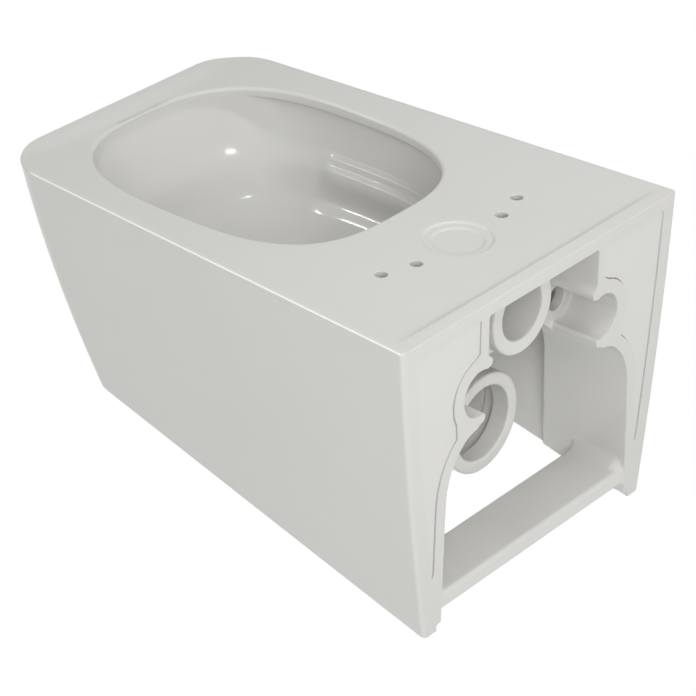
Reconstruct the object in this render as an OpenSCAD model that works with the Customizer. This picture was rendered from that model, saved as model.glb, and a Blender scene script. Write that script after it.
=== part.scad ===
// Wall hung toilet pan in glazed sanitary ceramic, seen as a bare casting.
// The wall plane is y = 0, the pan reaches toward -Y, and z = 0 is the height
// of the two wall studs. Depths are measured downward from the top of the deck.

/* [Outline] */
// Width of the deck where it meets the wall
rear_width = 400; // [385:1:420]
// Length from the wall to the front edge of the deck
pan_length = 531; // [520:1:570]
// Height of the side walls at the wall, from the deck to the feet
pan_height = 313.5; // [305:0.5:330]
// Distance from the top of the deck down to the stud axes
stud_drop = 88; // [86:1:92]
// Narrowing of each side toward the front, per millimetre of length
plan_taper = 0.0665; // [0.05:0.0005:0.075]
// How far each side wall leans in from the deck to the feet
side_lean = 21; // [16:0.5:24]
// How far each side wall curves in beyond that lean, at the feet
side_bow = 14.7; // [10:0.1:16]
// Slope of the front wall under the deck
front_draft = 0.352; // [0.3:0.002:0.4]
// Curvature of the front wall lower down
front_curve = 0.0006; // [0.0004:0.00005:0.0007]
// Radius of the front corners at the deck
front_corner_r = 60; // [50:1:70]
// How fast the front corners tighten with depth
corner_tighten = 0.2; // [0.1:0.01:0.22]
// Radius of the two rear corners
rear_corner_r = 4; // [2:0.5:6]
// Rise of the bottom edge toward the front, per millimetre of length
bottom_rise = 0.232; // [0.2:0.001:0.24]
// Thickness of the side and front walls
wall = 18; // [15:0.5:19]

/* [Deck] */
// Thickness of the deck slab
deck_t = 13.5; // [12.5:0.5:16]
// Radius of the outer top edge
edge_r = 3.5; // [2:0.25:5]
// Depth of the shallow dish in the deck, at the wall end
dish_depth = 5; // [3:0.5:6]
// Flat margin left outside the dish
dish_margin = 6; // [4:1:10]
// Width of the flat lip along the wall edge
lip_w = 13; // [10:0.5:16]
// Length of the slope down from that lip into the dish
lip_run = 7; // [5:0.5:12]
// Length of the dish's slope at the front end
front_run = 33; // [24:1:40]
// Width of the deck beside the bowl opening, measured square to the centreline
side_rim_w = 65.5; // [64:0.5:72]
// Distance from the wall to the rear of the bowl opening
open_rear = 175; // [172:1:180]
// Width of the rim in front of the bowl opening
open_front_rim = 33; // [32:1:40]
// Squareness of the opening, front half
open_square_front = 2.7; // [2.3:0.1:3]
// Squareness of the opening, rear half
open_square_rear = 3.0; // [2.5:0.1:3.2]
// Roll radius of the opening's top edge
open_roll = 4; // [3:0.5:7]
// Distance from the wall to the inner pair of seat hinge holes
hinge_in_y = 98.5; // [95:0.5:102]
// Spacing of the inner pair of seat hinge holes
hinge_in_w = 123; // [118:1:130]
// Distance from the wall to the outer pair of seat hinge holes
hinge_out_y = 109; // [104:1:114]
// Spacing of the outer pair of seat hinge holes
hinge_out_w = 195; // [190:1:206]
// Radius of the seat hinge holes
hinge_r = 6.5; // [5:0.25:7.5]
// Distance from the wall to the round blanked recess
recess_y = 98; // [94:1:102]
// Radius of the recess, outer step
recess_r = 34; // [30:0.5:37]
// Radius of the recess, inner step
recess_in_r = 25; // [20:0.5:27]
// Depth of each step of the recess, under the dish
recess_step = 2; // [1:0.25:3]

/* [Wall side] */
// Spacing of the wall studs
stud_spacing = 180; // [176:1:186]
// Radius of the open channels round the studs
channel_r = 23; // [20:0.5:24]
// Depth of the channels, from the wall to the bulkhead
channel_depth = 53; // [48:1:56]
// Thickness of the bulkhead
bulkhead_t = 12; // [10:0.5:14]
// Radius of the stud holes in the bulkhead
stud_hole_r = 12.5; // [10:0.5:14]
// Depth of the pillars, from the wall forward
pillar_depth = 100; // [92:1:104]
// Distance from the centreline to a pillar's flat inner face
pillar_x = 80; // [78:1:82]
// Width of each pillar low down, with the side wall, at the width of the deck
pillar_w = 64; // [62:0.5:68]
// Thickness of the web under each channel
channel_web = 12; // [10:0.5:14]
// Height of the curve under that web, down to the pillar's straight edge
arch_h = 62; // [56:1:66]
// Depth of the shallow pocket in each pillar's rear face
pocket_depth = 2; // [1:0.25:3]
// Width of the land between the pocket and the side wall
pocket_land = 2.5; // [2:0.25:4]
// Distance from the feet up to the lower ends of the pockets
pocket_end = 62; // [58:1:66]
// Width of the raised edge between the pocket and the opening
pocket_edge = 13; // [11:0.5:15]
// Height of the sill's top face above the feet
sill_top = 34.5; // [33:0.5:38]
// Thickness of the sill
sill_t = 17; // [14:0.5:19]
// Depth of the sill, from the wall forward
sill_depth = 62; // [56:1:68]
// Height of the narrower pad under each pillar's foot
foot_pad_h = 6.5; // [4:0.5:8]
// How far the foot steps outward above that pad
foot_step = 6.5; // [4:0.5:8]
// How far the sill's rear face stands back from the pillars' faces
sill_setback = 2.5; // [1:0.25:4]
// Radius of the hollow corners on the sill's top
sill_fillet = 10; // [6:0.5:14]

/* [Waterways] */
// Distance from the deck top down to the flush inlet's axis
inlet_drop = 52; // [51:0.5:53]
// Vertical distance from the inlet's axis to the waste outlet's axis
inlet_to_outlet = 135.5; // [134:0.5:138]
// Bore radius of the flush inlet
inlet_r = 29; // [26:0.5:30]
// Wall thickness of the flush inlet
inlet_wall = 14; // [12:0.5:14]
// Distance from the wall to the flush inlet's face
inlet_face = 24; // [20:1:30]
// Outer radius of the waste outlet
outlet_r = 51; // [49:0.5:52]
// Wall thickness of the waste outlet
outlet_wall = 13; // [11:0.5:14]
// Depth from the outlet's face to the step in its bore
outlet_step_in = 21; // [16:1:28]
// Bore radius of the waste outlet beyond the step
outlet_step_r = 42; // [39:0.5:44]
// Distance from the wall to the waste outlet's face
outlet_face = 65; // [60:1:70]
// Length of the waste outlet spigot
spigot_len = 35; // [30:1:37]
// Radius of the trap's passage
trap_r = 26; // [25:0.25:26.5]
// Wall thickness of the trap
trap_wall = 7; // [6:0.25:7.5]
// Bend radius of the trap's centreline
trap_bend = 42; // [40:0.5:44]
// Depth of the water seal, from the weir to the dip
water_seal = 50; // [48:0.5:54]
// Height of the trap's weir above the waste outlet's axis
weir_rise = 29.5; // [28:0.5:31]
// Length of the drop leg between the trap's crown and the spigot
drop_len = 24; // [20:1:28]
// Half width of the flush distributor
hood_half_w = 74; // [70:1:80]
// Height of the flush distributor
hood_h = 72; // [66:1:76]
// Wall thickness of the flush distributor
hood_wall = 8; // [6:0.5:10]
// Distance from the wall to the flush distributor's rear face
hood_rear = 118; // [116:1:124]
// How far the flush distributor reaches forward past the rear of the bowl opening
hood_reach = 60; // [50:1:70]
// Width of the bulkhead's web under the channels and the flush inlet
web_w = 9; // [7:0.5:10]

/* [Bowl] */
// Wall thickness of the bowl
bowl_wall = 8.5; // [7:0.25:9]
// How far the bowl wall sits back behind the rim
rim_undercut = 6; // [4:0.5:7]
// Depth of the first flush ledge
ledge_a = 55; // [52:1:57]
// Depth of the second flush ledge
ledge_b = 68; // [66:1:72]
// Depth of the third, lower ledge
ledge_c = 108; // [104:1:112]
// Width of each ledge's tread
ledge_w = 5.5; // [4:0.5:7]
// Distance from the wall where the ledges have faded out
ledge_end = 372; // [350:1:390]
// Height of the flush slots in the bowl's rear wall
slot_h = 14; // [10:1:16]
// Width of the middle flush slot
slot_mid_w = 46; // [36:1:50]
// Width of each side flush slot
slot_side_w = 30; // [22:1:32]

/* [Hidden] */

glaze = "#d2d2cd";
glaze_inner = "#c4c4be";
glaze_rear = "#d8d6d2";
far = 400;
taper_angle = atan(plan_taper);
open_half_w = rear_width / 2 - side_rim_w;
opening_half_w = rear_width / 2 - pillar_w;
outlet_drop = inlet_drop + inlet_to_outlet;
inlet_out_r = inlet_r + inlet_wall;
outlet_in_r = outlet_r - outlet_wall;
trap_out_r = trap_r + trap_wall;
round_fn = 96;

// The outer form: half width and front edge at a depth d under the deck
function half_w(y, d) =
  let (share = d / pan_height)
  rear_width / 2 + plan_taper * y - side_lean * share - side_bow * share * share;
function front_y(d) = -(pan_length - front_draft * d - front_curve * d * d);
function corner_r(d) = max(12, front_corner_r - corner_tighten * d);
function side_x(y, d, inset) = half_w(y, d) - inset / cos(taper_angle);

// One side of the outline at depth d, from the front edge to the rear corner
function outline_side(d, inset, rear_y, rear_r) =
  let (
    r = max(corner_r(d) - inset, 4),
    cy = front_y(d) + inset + r,
    cx = side_x(cy, d, inset) - r / cos(taper_angle),
    ry = rear_y - rear_r,
    rx = side_x(ry, d, inset) - rear_r / cos(taper_angle)
  )
  concat(
    [for (i = [0:10]) let (a = -90 + (90 - taper_angle) * i / 10) [cx + r * cos(a), cy + r * sin(a)]],
    [for (i = [0:3]) let (a = -taper_angle + (90 + taper_angle) * i / 3)
      [rx + rear_r * cos(a), ry + rear_r * sin(a)]]
  );

function ring(d, inset, rear_y, rear_r) =
  let (s = outline_side(d, inset, rear_y, rear_r), n = len(s))
  concat(
    [for (p = s) [p[0], p[1], -d]],
    [for (i = [0:n - 1]) [-s[n - 1 - i][0], s[n - 1 - i][1], -d]]
  );

// A closed solid through rings of points, listed from the top down
module loft(rings) {
  n = len(rings[0]);
  m = len(rings);
  polyhedron(
    points = [for (r = rings) each r],
    faces = concat(
      [[for (i = [0:n - 1]) n - 1 - i]],
      [[for (i = [0:n - 1]) (m - 1) * n + i]],
      [for (k = [0:m - 2]) for (i = [0:n - 1]) let (j = (i + 1) % n) [k * n + i, k * n + j, (k + 1) * n + j]],
      [for (k = [0:m - 2]) for (i = [0:n - 1]) let (j = (i + 1) % n)
        [k * n + i, (k + 1) * n + j, (k + 1) * n + i]]
    )
  );
}

// Everything below the sloping bottom edge
module below_bottom() {
  reach = pan_length + 60;
  rotate([90, 0, 90])
    linear_extrude(2 * far, center = true)
      polygon([
        [20, -pan_height - bottom_rise * 20],
        [-reach, -pan_height + bottom_rise * reach],
        [-reach, -far],
        [20, -far]
      ]);
}

// Side wall levels, close together where the profile bends
skirt_levels = [deck_t, 50, 90, 130, 170, 210, 250, 290, pan_height + 10];

module skirt_hollow(extra_top = 0) {
  loft([for (d = skirt_levels) ring(d == deck_t ? d - extra_top : d, wall, 20, 0.5)]);
}

// The bowl opening, a rounded square oval, grown by g
function open_front() = front_y(0) + open_front_rim;
function oval_pt(t, a, y_front, y_rear) =
  let (
    n = sin(t) < 0 ? open_square_front : open_square_rear,
    yc = (y_front + y_rear) / 2,
    b = (y_rear - y_front) / 2
  )
  [
    a * sign(cos(t)) * pow(abs(cos(t)), 2 / n),
    yc + b * sign(sin(t)) * pow(abs(sin(t)), 2 / n)
  ];
oval_n = 56;
function oval_ring(d, a, y_front, y_rear) =
  [for (i = [0:oval_n - 1]) let (p = oval_pt(i * 360 / oval_n, a, y_front, y_rear)) [p[0], p[1], -d]];

module deck_opening() {
  // The roll of the edge opens outward toward the top
  top = dish_depth / 2;
  loft(concat(
    [opening_ring(-2, open_roll * 1.6)],
    [for (a = [15, 35, 52, 70, 90]) opening_ring(top + open_roll * (1 - cos(a)), open_roll * (1 - sin(a)))],
    [opening_ring(deck_t + 5, 0)]
  ));
}
function opening_ring(d, g) = oval_ring(d, open_half_w + g, open_front() - g, -open_rear + g);

// The dish is a shallow arc across the deck, cut short by a slope at either end,
// so its lip is highest at the middle of the wall edge and dies out at the corners
dish_half_w = rear_width / 2 - dish_margin;
dish_narrowing = (half_w(-pan_length, 0) - dish_margin) / dish_half_w;
arc_steps = 8;
module deck_dish() {
  front = -pan_length + edge_r;
  below = dish_depth + 1;
  intersection() {
    rotate([90, 0, 0])
      linear_extrude(pan_length, scale = dish_narrowing)
        polygon(concat(
          [[-dish_half_w, deck_t], [-dish_half_w, 0]],
          [for (i = [1 - arc_steps:arc_steps - 1]) let (u = i / arc_steps)
            [u * dish_half_w, -dish_depth * (1 - u * u)]],
          [[dish_half_w, 0], [dish_half_w, deck_t]]
        ));
    rotate([90, 0, 90])
      linear_extrude(rear_width, center = true)
        polygon([
          [-lip_w, deck_t - 2],
          [-lip_w, 0],
          [-lip_w - 0.3 * lip_run, -0.25 * dish_depth],
          [-lip_w - 0.7 * lip_run, -0.8 * dish_depth],
          [-lip_w - lip_run, -dish_depth],
          [-lip_w - 1.5 * lip_run, -below],
          [front + 1.2 * front_run, -below],
          [front + front_run, -0.8 * dish_depth],
          [front + 0.35 * front_run, -0.2 * dish_depth],
          [front, 0],
          [front, deck_t - 2]
        ]);
  }
}

module deck() color(glaze) {
  difference() {
    loft(concat(
      [for (i = [0:4]) let (a = i * 22.5) ring(edge_r * (1 - cos(a)), edge_r * (1 - sin(a)), 0, rear_corner_r)],
      [ring(deck_t, 0, 0, rear_corner_r)]
    ));
    deck_dish();
    deck_opening();
    for (side = [-1, 1]) {
      translate([side * hinge_in_w / 2, -hinge_in_y, -deck_t - 1])
        cylinder(r = hinge_r, h = deck_t + 2, $fn = round_fn);
      translate([side * hinge_out_w / 2, -hinge_out_y, -deck_t - 1])
        cylinder(r = hinge_r, h = deck_t + 2, $fn = round_fn);
    }
    translate([0, -recess_y, -dish_depth - recess_step])
      rotate_extrude($fn = round_fn)
        polygon([
          [0, -recess_step],
          [recess_in_r - 1.5, -recess_step],
          [recess_in_r, 0],
          [recess_r - 1.5, 0],
          [recess_r, recess_step],
          [recess_r + 1, dish_depth + recess_step],
          [0, dish_depth + recess_step]
        ]);
  }
}

module outer_skirt() color(glaze) {
  difference() {
    loft([for (d = skirt_levels) ring(d, 0, 0, rear_corner_r)]);
    skirt_hollow(1);
    below_bottom();
  }
}

// Pillar outline seen from the wall, right half, as [x, depth]
arch_top = stud_drop + channel_r + channel_web;
hook_x = stud_spacing / 2 - 6;
function arch_pt(a, g) = [
  stud_spacing / 2 + (opening_half_w - stud_spacing / 2 + g) * cos(a),
  arch_top + arch_h - (arch_h + g) * sin(a)
];
foot_x = opening_half_w + 4;
module pillar_outline() {
  cx = stud_spacing / 2;
  difference() {
    polygon(concat(
      [
        [pillar_x, -deck_t],
        [pillar_x, -stud_drop + channel_r + channel_web],
        [pillar_x - 5, -stud_drop + channel_r + 7],
        [pillar_x - 6, -stud_drop + channel_r + 2],
        [pillar_x - 2, -stud_drop + channel_r - 3],
        [cx, -stud_drop + 12],
        [cx, -stud_drop - 12],
        [hook_x, -stud_drop - channel_r + 2],
        [hook_x, -stud_drop - channel_r - 8]
      ],
      [for (a = [90:-10:0]) let (p = arch_pt(a, 0)) [p[0], -p[1]]],
      [
        [foot_x, -pan_height + foot_pad_h],
        [foot_x + foot_step, -pan_height + foot_pad_h],
        [foot_x + foot_step, -pan_height - 1],
        [far / 2 + 20, -pan_height - 1],
        [far / 2 + 20, -deck_t]
      ]
    ));
    translate([cx, -stud_drop]) circle(r = channel_r, $fn = round_fn);
  }
}

// The pocket follows the opening on one side and the side wall on the other
pocket_low = pan_height - pocket_end;
module pocket_outline() {
  cx = stud_spacing / 2;
  ring_r = channel_r + pocket_edge;
  polygon(concat(
    [[pillar_x + pocket_edge - 2, -deck_t], [pillar_x + pocket_edge - 2, -stud_drop + ring_r + 5]],
    [for (a = [75:-15:-30]) [cx + ring_r * cos(a), -stud_drop + ring_r * sin(a)]],
    [for (a = [60:-10:0]) let (p = arch_pt(a, pocket_edge)) [p[0], -p[1]]],
    [
      [foot_x + pocket_edge - 2, -pocket_low + 4],
      [foot_x + pocket_edge, -pocket_low],
      [far / 2 + 20, -pocket_low],
      [far / 2 + 20, -deck_t]
    ]
  ));
}

// A slice standing on the wall side, from y = -to up to y = -from
module wall_slice(from, to) {
  translate([0, -from, 0])
    rotate([90, 0, 0])
      linear_extrude(to - from)
        children();
}

module pillar() {
  difference() {
    intersection() {
      wall_slice(0, pillar_depth) pillar_outline();
      skirt_hollow();
    }
    intersection() {
      wall_slice(-1, pocket_depth) pocket_outline();
      pocket_trim();
    }
    below_bottom();
  }
}

// Keeps a narrow land between the pocket and the side wall
module pocket_trim() {
  wall_slice(-1, pocket_depth)
    polygon(concat(
      [[pillar_x, -pocket_low], [pillar_x, -deck_t]],
      [for (d = skirt_levels) if (d < pocket_low) [side_x(0, d, wall) - pocket_land, -d]],
      [[side_x(0, pocket_low, wall) - pocket_land, -pocket_low]]
    ));
}

module right_pillar() color(glaze_rear) mirror([1, 0, 0]) pillar();
module left_pillar() color(glaze_rear) pillar();

module both_pillar_outlines() {
  pillar_outline();
  mirror([1, 0]) pillar_outline();
}

module stud_bulkhead() color(glaze_rear) {
  low = stud_drop + channel_r + web_w;
  mid = inlet_drop + inlet_out_r + web_w;
  wall_slice(channel_depth, channel_depth + bulkhead_t)
    difference() {
      polygon([
        [-stud_spacing / 2 - channel_r - 1, -deck_t],
        [-stud_spacing / 2 - channel_r - 1, -low + web_w],
        [-hook_x - 1, -low],
        [-inlet_out_r - 2 * web_w, -mid],
        [inlet_out_r + 2 * web_w, -mid],
        [hook_x + 1, -low],
        [stud_spacing / 2 + channel_r + 1, -low + web_w],
        [stud_spacing / 2 + channel_r + 1, -deck_t]
      ]);
      both_pillar_outlines();
      translate([0, -inlet_drop]) circle(r = inlet_out_r, $fn = round_fn);
      for (side = [-1, 1])
        translate([side * stud_spacing / 2, -stud_drop]) circle(r = stud_hole_r, $fn = round_fn);
    }
}

module rear_sill() color(glaze_rear) {
  top = pan_height - sill_top;
  low = top + sill_t;
  wall_slice(sill_setback, sill_depth)
    difference() {
      polygon([
        [-far / 2, -top + sill_fillet],
        [-far / 2, -pan_height + 8],
        [-foot_x + 22, -low],
        [foot_x - 22, -low],
        [far / 2, -pan_height + 8],
        [far / 2, -top + sill_fillet]
      ]);
      both_pillar_outlines();
      // hollow corners where the sill meets the pillars
      inner = foot_x - 1 - sill_fillet;
      translate([-inner, -top]) square([2 * inner, far]);
      for (side = [-1, 1])
        translate([side * inner, -top + sill_fillet]) circle(r = sill_fillet, $fn = round_fn);
    }
}

module flush_inlet_horn() color(glaze_rear) {
  difference() {
    wall_slice(inlet_face, hood_rear)
      translate([0, -inlet_drop]) circle(r = inlet_out_r, $fn = round_fn);
    wall_slice(inlet_face - 1, hood_rear + 1)
      translate([0, -inlet_drop]) circle(r = inlet_r, $fn = round_fn);
    translate([-far / 2, -far, -deck_t]) cube([far, far, far]);
  }
}

module flush_distributor() color(glaze_inner) {
  front = open_rear + hood_reach;
  difference() {
    translate([-hood_half_w, -front, -deck_t - hood_h])
      cube([2 * hood_half_w, front - hood_rear, hood_h]);
    translate([-hood_half_w + hood_wall, -front - 1, -deck_t - hood_h + hood_wall])
      cube([2 * (hood_half_w - hood_wall), front - hood_rear - hood_wall + 1, hood_h - 2 * hood_wall]);
    wall_slice(hood_rear - 1, hood_rear + hood_wall + 1)
      translate([0, -inlet_drop]) circle(r = inlet_r, $fn = round_fn);
    bowl_form(bowl_wall, 1);
  }
}

// Bowl stations: depth, half width, front, rear, share of the way to round
trap_y = -outlet_face - spigot_len - drop_len - trap_bend;
sump_y = trap_y - 2 * trap_bend;
weir_depth = outlet_drop - weir_rise;
crown_depth = weir_depth - trap_r;
floor_depth = weir_depth + water_seal + trap_r;
sump_depth = floor_depth - trap_bend;
crown_side_depth = crown_depth + trap_bend;
bowl_half_w = open_half_w + rim_undercut;
bowl_rear = -open_rear + rim_undercut;
bowl_front = open_front() + 1;
bowl_len = bowl_rear - bowl_front;
under_c = sump_depth - ledge_c;
function station(depth, width, front, rear, round) =
  [depth, width * bowl_half_w, bowl_front + front * bowl_len, bowl_rear - rear * bowl_len, round];
stations = [
  // depth, then shares of the bowl's half width and length, and roundness
  station(deck_t, 1, 0, 0, 0),
  station(deck_t + 12, 1, 0.015, 0, 0),
  station(ledge_a - 1, 0.979, 0.055, 0.003, 0),
  station(ledge_a + 2, 0.975, 0.061, 0.005, 0),
  station(ledge_b - 1, 0.964, 0.082, 0.009, 0),
  station(ledge_b + 2, 0.957, 0.088, 0.011, 0),
  station((ledge_b + ledge_c) / 2, 0.922, 0.125, 0.03, 0.05),
  station(ledge_c - 1, 0.865, 0.174, 0.067, 0.1),
  station(ledge_c + 3, 0.85, 0.183, 0.073, 0.1),
  station(ledge_c + 0.286 * under_c, 0.73, 0.262, 0.107, 0.25),
  station(ledge_c + 0.548 * under_c, 0.559, 0.378, 0.128, 0.5),
  station(ledge_c + 0.762 * under_c, 0.381, 0.518, 0.143, 0.75),
  [sump_depth - 6, trap_r + 9, sump_y - trap_r - 9, sump_y + trap_r + 2, 0.95],
  [sump_depth, trap_r, sump_y - trap_r, sump_y + trap_r, 1]
];

// The ledges stand in from the side walls and fade out toward the front
function ledge_fade(y) = let (u = min(1, max(0, (y + ledge_end) / 70))) u * u * (3 - 2 * u);
function ledge_in(d) =
  (d > ledge_a + 1 ? ledge_w : 0) + (d > ledge_b + 1 ? ledge_w : 0)
  - (d > ledge_b + 3 ? 2 * ledge_w * min(1, (d - ledge_b) / 60) : 0)
  + (d > ledge_c + 2 ? ledge_w * max(0, 1 - (d - ledge_c) / 60) : 0);

function bowl_pt(s, t, g) =
  let (
    d = s[0],
    p = oval_pt(t, s[1] + g, s[2] - g, s[3] + g),
    yc = (s[2] + s[3]) / 2,
    q = [(s[1] + g) * cos(t), yc + ((s[3] - s[2]) / 2 + g) * sin(t)],
    m = p * (1 - s[4]) + q * s[4],
    in = g > 0 ? 0 : ledge_in(d) * ledge_fade(m[1]) * pow(abs(cos(t)), 0.5)
  )
  [m[0] - sign(m[0]) * in, m[1], -d];

module bowl_form(g, extra = 0) {
  loft(concat(
    extra > 0 ? [[for (i = [0:oval_n - 1])
      let (p = bowl_pt(stations[0], i * 360 / oval_n, g)) [p[0], p[1], p[2] + extra]]] : [],
    [for (s = stations) [for (i = [0:oval_n - 1]) bowl_pt(s, i * 360 / oval_n, g)]],
    g == 0 ? [[for (i = [0:oval_n - 1])
      let (p = bowl_pt(stations[len(stations) - 1], i * 360 / oval_n, g)) [p[0], p[1], p[2] - 5]]] : []
  ));
}

module bowl() color(glaze_inner) {
  difference() {
    bowl_form(bowl_wall);
    bowl_form(0, 5);
    flush_slots();
  }
}

// Flush water comes in through three slots under the rear rim
module flush_slots() {
  slot_low = ledge_a - 2;
  for (x = [-1, 0, 1]) {
    w = x == 0 ? slot_mid_w : slot_side_w;
    translate([x * (slot_mid_w / 2 + slot_side_w / 2 + 8) - w / 2, -open_rear - 20, -slot_low])
      cube([w, 60, slot_h]);
  }
}

// Trap parts lie in the plane x = 0, drawn with y across and depth down
module bend(cy, cd, start, sweep, r) {
  translate([0, cy, -cd])
    rotate([0, 90, 0])
      rotate([0, 0, start])
        rotate_extrude(angle = sweep, $fn = round_fn)
          translate([trap_bend, 0]) circle(r = r, $fn = 48);
}

// The water seal's U is two quarter bends, from the sump down and up to the riser
module trap_quarter(start) {
  cy = trap_y - trap_bend;
  difference() {
    bend(cy, sump_depth, start, -90, trap_out_r);
    bend(cy, sump_depth, start + 1, -92, trap_r);
  }
}
module trap_bend_entry() color(glaze_inner) trap_quarter(0);
module trap_bend_dip() color(glaze_inner) trap_quarter(90);

module trap_riser() color(glaze_inner) {
  leg = sump_depth - crown_side_depth;
  translate([0, trap_y, -sump_depth])
    difference() {
      cylinder(r = trap_out_r, h = leg, $fn = round_fn);
      translate([0, 0, -1]) cylinder(r = trap_r, h = leg + 2, $fn = round_fn);
    }
}

module trap_crown() color(glaze_inner) {
  difference() {
    bend(trap_y + trap_bend, crown_side_depth, 180, 90, trap_out_r);
    bend(trap_y + trap_bend, crown_side_depth, 179, 92, trap_r);
  }
}

module keyhole(grow) {
  r_low = outlet_step_r - 1 + grow;
  r_top = trap_r + grow;
  translate([0, -crown_depth]) circle(r = r_top, $fn = round_fn);
  translate([0, -outlet_drop]) circle(r = r_low, $fn = round_fn);
  translate([-r_top, -outlet_drop]) square([2 * r_top, outlet_drop - crown_depth]);
}

module trap_drop_leg() color(glaze_inner) {
  start = outlet_face + spigot_len;
  difference() {
    wall_slice(start, start + drop_len) keyhole(trap_wall);
    wall_slice(start - 1, start + drop_len - trap_wall) keyhole(0);
    wall_slice(start - 1, start + drop_len + 1)
      translate([0, -crown_depth]) circle(r = trap_r, $fn = round_fn);
  }
}

module outlet_spigot() color(glaze_rear) {
  difference() {
    wall_slice(outlet_face, outlet_face + spigot_len)
      translate([0, -outlet_drop]) circle(r = outlet_r, $fn = round_fn);
    wall_slice(outlet_face - 1, outlet_face + outlet_step_in + 1)
      translate([0, -outlet_drop]) circle(r = outlet_in_r, $fn = round_fn);
    wall_slice(outlet_face + outlet_step_in, outlet_face + spigot_len + 1)
      translate([0, -outlet_drop]) circle(r = outlet_step_r, $fn = round_fn);
  }
}

module on_studs() translate([0, 0, stud_drop]) children();

on_studs() deck();
on_studs() outer_skirt();
on_studs() bowl();
on_studs() left_pillar();
on_studs() right_pillar();
on_studs() stud_bulkhead();
on_studs() rear_sill();
on_studs() flush_inlet_horn();
on_studs() flush_distributor();
on_studs() trap_bend_entry();
on_studs() trap_bend_dip();
on_studs() trap_riser();
on_studs() trap_crown();
on_studs() trap_drop_leg();
on_studs() outlet_spigot();
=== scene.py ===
# %% [markdown]
# # A wall hung toilet pan
# The photograph shows the pan bare, from its wall side: one piece of fired and glazed
# ceramic with a flat deck, a deep bowl, and a rear face full of openings for the wall
# studs and the pipes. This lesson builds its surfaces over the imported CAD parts. The CAD
# parts stay the frame that everything is measured against, and nothing here moves them.

import math

import bmesh
import bpy
import numpy as np
from mathutils import Matrix, Vector


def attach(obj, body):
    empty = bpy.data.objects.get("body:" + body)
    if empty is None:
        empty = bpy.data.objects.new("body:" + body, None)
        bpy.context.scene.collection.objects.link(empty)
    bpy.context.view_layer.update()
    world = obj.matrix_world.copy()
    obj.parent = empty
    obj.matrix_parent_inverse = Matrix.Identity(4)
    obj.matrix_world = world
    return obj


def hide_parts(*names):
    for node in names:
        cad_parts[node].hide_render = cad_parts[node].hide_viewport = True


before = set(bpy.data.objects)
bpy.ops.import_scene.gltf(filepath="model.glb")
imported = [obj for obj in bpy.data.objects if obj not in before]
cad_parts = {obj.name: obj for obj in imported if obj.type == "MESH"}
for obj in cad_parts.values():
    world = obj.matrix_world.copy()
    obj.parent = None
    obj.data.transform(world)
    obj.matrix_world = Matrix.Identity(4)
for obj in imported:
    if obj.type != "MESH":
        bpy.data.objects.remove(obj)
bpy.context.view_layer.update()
print("CAD parts:", sorted(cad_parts))

# %% [markdown]
# ## The camera
# The picture was taken with a long lens from above the rear left corner of the pan. The
# angle was found by fitting the deck's straight edges and the rear corners, so the camera
# stands where the photographer's did, and its lens has the length that the fit gave.

# %% camera
CAMERA_AT = (1.8342, 1.3470, 1.3350)
CAMERA_LOOKS_DOWN = 30.347  # degrees under level
CAMERA_TURN = 130.719  # degrees round the upright axis
LENS_MM = 151.33

camera_data = bpy.data.cameras.new("studio_camera")
camera_data.sensor_width = 36
camera_data.lens = LENS_MM
camera = bpy.data.objects.new("studio_camera", camera_data)
camera.location = CAMERA_AT
camera.rotation_euler = (math.radians(90 - CAMERA_LOOKS_DOWN), 0, math.radians(CAMERA_TURN))
bpy.context.scene.collection.objects.link(camera)
bpy.context.scene.camera = camera
print("camera", LENS_MM, "mm lens at", CAMERA_AT)

# %% [markdown]
# ## Sizes that every piece shares
# The pan is drawn in millimetres, with depths measured downward from the top of the deck,
# the way a potter would measure the mould. The outline narrows toward the front and the
# walls slope in as they go down, so its half width and its front edge are functions of
# how deep and how far from the wall a point lies.

# %% outline of the pan
STUD_DROP = 88.0
LENGTH = 530.45
HALF_WIDTH = 199.85
HEIGHT = 313.5
PLAN_TAPER = 0.0665
TAPER = math.atan(PLAN_TAPER)
SIDE_LEAN, SIDE_BOW = 21.0, 14.7
FRONT_DRAFT, FRONT_CURVE = 0.352, 0.0006
CORNER_R, CORNER_TIGHTEN, CORNER_LEAST = 60.0, 0.2, 12.0
BOTTOM_RISE = 0.232
WALL = 18.0
DECK_T = 13.5
EDGE_R = 1.7
REAR_EDGE_R = 0.6
REAR_R = 4.0


def half_w(y, d):
    """Half the pan's width. The wall is at y = 0, and y falls toward the front."""
    share = d / HEIGHT
    return HALF_WIDTH + PLAN_TAPER * y - SIDE_LEAN * share - SIDE_BOW * share * share


def front_y(d):
    return -(LENGTH - FRONT_DRAFT * d - FRONT_CURVE * d * d)


def corner_r(d):
    return max(CORNER_LEAST, CORNER_R - CORNER_TIGHTEN * d)


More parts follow.
